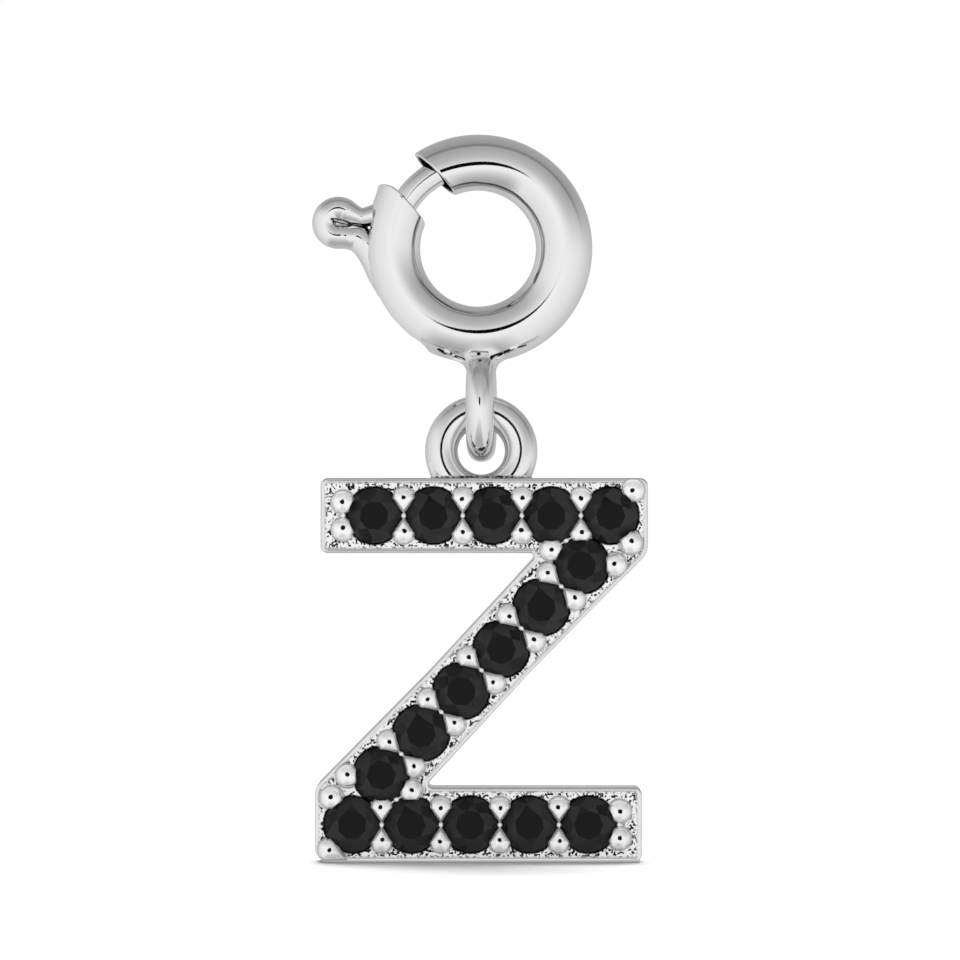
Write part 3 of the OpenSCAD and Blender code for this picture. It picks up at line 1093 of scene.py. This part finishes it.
def ring_shade_reflection_and_bumps(tree, place):
    """The same with a painted dark reflection line on the tube's inner side."""
    painted_dark, height, distance = marked_shade_and_bumps(tree, place)
    off = vector(tree, "SUBTRACT", place, tuple(RING * MM))
    out = vector(tree, "LENGTH", vector(tree, "MULTIPLY", off, (1, 0, 1)))
    side = maths(tree, "DIVIDE", maths(tree, "SUBTRACT", out, RING_R * MM), TUBE_R * MM)
    wave = noise(tree, place, HAND_WAVES, 4.0)
    wander = maths(tree, "MULTIPLY_ADD", wave, REFLECTION_LINE_WANDER, REFLECTION_LINE_IN)
    aside = maths(tree, "ABSOLUTE", maths(tree, "ADD", side, wander))
    # Painted reflection: a dark line that wanders along the tube's inner side, stronger in patches
    line = maths(tree, "SUBTRACT", 1.0, smooth_step(tree, aside, 0.015, 0.05))
    strength = smooth_step(tree, noise(tree, place, PATCH_WAVES), 0.3, 0.6)
    line = maths(tree, "MULTIPLY", maths(tree, "MULTIPLY", line, strength), REFLECTION_LINE_DARK)
    return maths(tree, "MAXIMUM", painted_dark, line), height, distance


def prong_shade_and_bumps(tree, place):
    """Painted shade: grey round the prongs' feet, and ragged dark marks in the dents on them."""
    ragged = noise(tree, place, DENT_WAVES)
    ragged = maths(tree, "MULTIPLY_ADD", ragged, 1.3, attribute(tree, "dent"))
    dent = smooth_step(tree, maths(tree, "SUBTRACT", ragged, 0.65), 0.42, 0.6)
    painted_dark = maths(tree, "MAXIMUM", attribute(tree, "foot"), dent)
    return painted_dark, noise(tree, place, BEAD_WAVES), BEAD_BUMP


def pit_shade_and_grain_bumps(tree, place):
    """Cast grain with pits painted black as shade where the mark says so, painted shade on the rim in
    patches, and painted shade on the seat walls.
    """
    grain = attribute(tree, "grain")
    speck = noise(tree, place, PIT_WAVES, 1.0)
    limit = maths(tree, "MULTIPLY_ADD", attribute(tree, "pitted"), -0.1, 0.64)
    over = maths(tree, "SUBTRACT", speck, limit)
    # Painted shade: the pits are coloured black
    shaded_pit = maths(tree, "MULTIPLY", smooth_step(tree, over, 0.0, 0.02), grain)
    crumb = maths(tree, "MULTIPLY", noise(tree, place, CRUMB_WAVES, 3.0), grain)
    # Painted shade: the rim is coloured darker in patches
    rim_shade = maths(tree, "MULTIPLY_ADD", noise(tree, place, RIM_WAVES), 0.14, 0.02)
    rim_shade = maths(tree, "MULTIPLY", rim_shade, attribute(tree, "rim"))
    painted_dark = maths(tree, "MAXIMUM", maths(tree, "MAXIMUM", shaded_pit, rim_shade), attribute(tree, "seat"))
    return painted_dark, maths(tree, "SUBTRACT", crumb, shaded_pit), GRAIN_BUMP


def grainy(tree, place):
    """Roughness of the letter: polished but for the grain."""
    return maths(tree, "MULTIPLY_ADD", attribute(tree, "frost"), FROST_ROUGH, 0.08)


def black_stone():
    """Black cut stone: glossy, with a painted sheen on every facet but the table that differs from
    facet to facet, so the table stays the darkest.
    """
    material, tree, shader = new_material("black_stone")
    coordinates = add(tree, "TexCoord")
    facet = coordinates.outputs["Normal"]
    # Painted sheen: each facet but the table, which faces the front, is coloured a little lighter by
    # a tone of its own
    tone = noise(tree, facet, 3.0)
    cloud = noise(tree, coordinates.outputs["Object"], CLOUD_WAVES)
    both = maths(tree, "MULTIPLY_ADD", cloud, 0.25, tone)
    tone = add(tree, "MapRange", {"Value": both, "From Min": 0.45, "From Max": 0.7, "To Max": 0.02})
    towards_front = add(tree, "SeparateXYZ", {0: facet}).outputs["Y"]
    crown = smooth_step(tree, towards_front, -0.99, -0.95)
    base_and_sheen = maths(tree, "MULTIPLY_ADD", maths(tree, "MULTIPLY", tone.outputs[0], crown), 1.0, 0.001)
    colour = add(tree, "CombineXYZ", {"X": base_and_sheen, "Y": base_and_sheen, "Z": base_and_sheen}).outputs[0]
    tree.links.new(colour, shader.inputs["Base Color"])
    shader.inputs["Roughness"].default_value = 0.05
    shader.inputs["IOR"].default_value = 1.26
    return material


# Light, floor and camera

# The share of light that polished metal throws back
METAL_SHARE = 0.93

# Light of the tent by degrees from the viewer, as the level from 0 to 255 that metal shows
SIDE_LIGHT = ((0, 238), (60, 224), (90, 212), (115, 200), (150, 188), (180, 184))
TOP_LIGHT = (
    (0, 238), (14, 220), (24, 205), (38, 184), (55, 172), (76, 160),
    (85, 118), (95, 150), (115, 158), (150, 168), (180, 180),
)
BASE_LIGHT = (
    (0, 238), (15, 230), (24, 214), (36, 198), (50, 181),
    (66, 166), (92, 165), (120, 185), (180, 188),
)

# The greyer top and base: the angle round the viewing line, and how sharply each sets in
TOP_SPREAD = (78, 0.15, 0.75)
BASE_SPREAD = (265, 0.84, 0.98)

# The share of the light that is left where metal mirrors metal, by degrees from the viewer
ROOM_LIGHT = (
    (0, 0.1), (6, 0.1), (14, 0.9), (38, 0.9), (50, 0.5),
    (72, 0.5), (86, 1), (116, 1), (132, 0.6), (180, 0.5),
)

# The lens: how many degrees it lies above and beside the viewing line, and its half size
LENS_UP, LENS_SIDE = 10.8, -1.3
LENS_HALF_H, LENS_HALF_W = 7.5, 5.0

# Lamps: name, height in degrees, side, spread in degrees and strength. Side 180 is behind.
LAMPS = (
    ("back_lamp", 66, 180, 50, 6.8),
    ("front_lamp", 60, 0, 60, 0.6),
    ("fill_lamp", 15, 0, 60, 1.1),
)
FLOOR_TONES = (0.52, 0.56)
FLOOR_HALF = 0.6
FLOOR_BELOW = 0.00002
CAMERA_PLACE = (0.000061, -0.2, -0.00885)
CAMERA_LENS = 245


def level(shown):
    """The light that polished metal needs to show a level from 0 to 255 in the picture."""
    share = shown / 255
    linear = share / 12.92 if share < 0.04045 else ((share + 0.055) / 1.055) ** 2.4
    return linear / METAL_SHARE


def by_angle(tree, share, stops):
    """A value by angle: share is of half a turn, and the stops are degrees and value."""
    ramp = add(tree, "ValToRGB", {"Fac": share})
    elements = ramp.color_ramp.elements
    while len(elements) < len(stops):
        elements.new(0.5)
    for element, (angle, value) in zip(elements, stops):
        element.position = angle / 180
        element.color = (value, value, value, 1)
    return ramp.outputs[0]


def light_by_angle(tree, share, stops):
    """The same for light, with the level that metal shows in place of the value."""
    return by_angle(tree, share, [(angle, level(shown)) for angle, shown in stops])


def studio_light():
    """A soft light tent: bright sides, a greyer top and base, and the dark spot of the lens."""
    world = bpy.data.worlds.new("studio")
    bpy.context.scene.world = world
    world.use_nodes = True
    tree = world.node_tree
    tree.nodes.clear()
    direction = add(tree, "TexCoord").outputs["Generated"]
    wobble = add(tree, "TexNoise", {"Vector": direction, "Scale": 30.0}).outputs["Color"]
    shift = vector(tree, "SUBTRACT", wobble, (0.5, 0.5, 0.5))
    direction = vector(tree, "MULTIPLY_ADD", shift, (0.02, 0.02, 0.02), direction)
    x, y, z = add(tree, "SeparateXYZ", {0: vector(tree, "NORMALIZE", direction)}).outputs
    flat = vector(tree, "NORMALIZE", add(tree, "CombineXYZ", {"X": x, "Z": z}).outputs[0])
    angle = maths(tree, "ARCCOSINE", maths(tree, "MULTIPLY", y, -1.0))
    share = maths(tree, "DIVIDE", angle, math.pi)
    tables = (SIDE_LIGHT, TOP_LIGHT, BASE_LIGHT)
    sides, top, base = [light_by_angle(tree, share, stops) for stops in tables]
    light = mixed(tree, towards(tree, flat, *TOP_SPREAD), sides, top)
    light = mixed(tree, towards(tree, flat, *BASE_SPREAD), light, base)
    light = lens_spot(tree, (x, y, z), share, light)
    seen = add(tree, "Background", {"Color": (1, 1, 1, 1), "Strength": 1.0}).outputs[0]
    lit = add(tree, "Background", {"Color": light, "Strength": 1.0}).outputs[0]
    camera_ray = add(tree, "LightPath").outputs["Is Camera Ray"]
    shader = add(tree, "MixShader", {0: camera_ray, 1: lit, 2: seen}).outputs[0]
    add(tree, "OutputWorld", {"Surface": shader})


def towards(tree, flat, angle, low, high):
    """How much a direction, seen round the viewing line, points to an angle."""
    ray = math.radians(angle)
    dot = vector(tree, "DOT_PRODUCT", flat, (math.cos(ray), 0, math.sin(ray)))
    return smooth_step(tree, dot, low, high)


def lens_spot(tree, direction, share, light):
    """The light with the dark reflection of the lens, a little above the viewing line.

    What is mirrored twice also loses the light that the metal itself keeps out.
    """
    x, y, z = direction
    up, side = math.sin(math.radians(LENS_UP)), math.sin(math.radians(LENS_SIDE))
    high, wide = math.sin(math.radians(LENS_HALF_H)), math.sin(math.radians(LENS_HALF_W))
    rise = maths(tree, "DIVIDE", maths(tree, "SUBTRACT", z, up), high)
    across = maths(tree, "DIVIDE", maths(tree, "SUBTRACT", x, side), wide)
    off = vector(tree, "LENGTH", add(tree, "CombineXYZ", {"X": across, "Z": rise}).outputs[0])
    behind = smooth_step(tree, y, -0.1, 0.0)
    clear = maths(tree, "MAXIMUM", smooth_step(tree, off, 0.94, 1.03), behind)
    room = by_angle(tree, share, ROOM_LIGHT)
    deep = maths(tree, "GREATER_THAN", add(tree, "LightPath").outputs["Glossy Depth"], 1.5)
    room = add(tree, "Mix", {"Factor": deep, "A": 1.0, "B": room}).outputs[0]
    clear = maths(tree, "MULTIPLY", clear, room)
    return add(tree, "VectorMath", {0: light, "Scale": clear}, operation="SCALE").outputs[0]


def soft_lamp(name, height, side, spread, energy):
    """A distant soft lamp that metal doesn't mirror."""
    lamp = bpy.data.lights.new(name, "SUN")
    lamp.angle = math.radians(spread)
    lamp.energy = energy
    holder = bpy.data.objects.new(name, lamp)
    holder.rotation_euler = (math.radians(90 - height), 0, math.radians(side))
    holder.visible_glossy = False
    bpy.context.scene.collection.objects.link(holder)


def floor():
    """A pale floor just under the letter."""
    material, tree, shader = new_material("floor")
    place = add(tree, "TexCoord").outputs["Object"]
    low, high = FLOOR_TONES
    tone = add(tree, "MapRange", {"Value": noise(tree, place, 40), "To Min": low, "To Max": high})
    colour = add(tree, "CombineXYZ", {k: tone.outputs[0] for k in "XYZ"}).outputs[0]
    tree.links.new(colour, shader.inputs["Base Color"])
    shader.inputs["Roughness"].default_value = 0.9
    half = FLOOR_HALF
    mesh = bpy.data.meshes.new("floor")
    corners = [(-half, -half, 0), (half, -half, 0), (half, half, 0), (-half, half, 0)]
    mesh.from_pydata(corners, [], [(0, 1, 2, 3)])
    mesh.materials.append(material)
    plane = bpy.data.objects.new("floor", mesh)
    plane.location.z = cad_box[0].z - FLOOR_BELOW
    plane.visible_glossy = False
    bpy.context.scene.collection.objects.link(plane)


def camera():
    """A long lens straight in front, as the photograph was taken."""
    data = bpy.data.cameras.new("camera")
    data.lens = CAMERA_LENS
    data.sensor_width = 36
    data.clip_start = 0.01
    holder = bpy.data.objects.new("camera", data)
    holder.location = CAMERA_PLACE
    holder.rotation_euler = (math.pi / 2, 0, 0)
    bpy.context.scene.collection.objects.link(holder)
    bpy.context.scene.camera = holder


ring_shell(silver("ring_silver", ring_shade_reflection_and_bumps, wiped(0.03, 0.08, "dull")))
trigger(silver("trigger_silver", marked_shade_and_bumps, wiped(0.03, 0.08)))
letter(silver("cast_silver", pit_shade_and_grain_bumps, grainy, "frost"))
prongs(silver("prong_silver", prong_shade_and_bumps, wiped(0.1, 0.2), 0.32))
BLACK = black_stone()
for stone in STONE_NAMES:
    for material_slot in frame["nodes"][stone].material_slots:
        material_slot.material = BLACK
studio_light()
floor()
for lamp_values in LAMPS:
    soft_lamp(*lamp_values)
camera()
bpy.context.scene.view_settings.view_transform = "Standard"
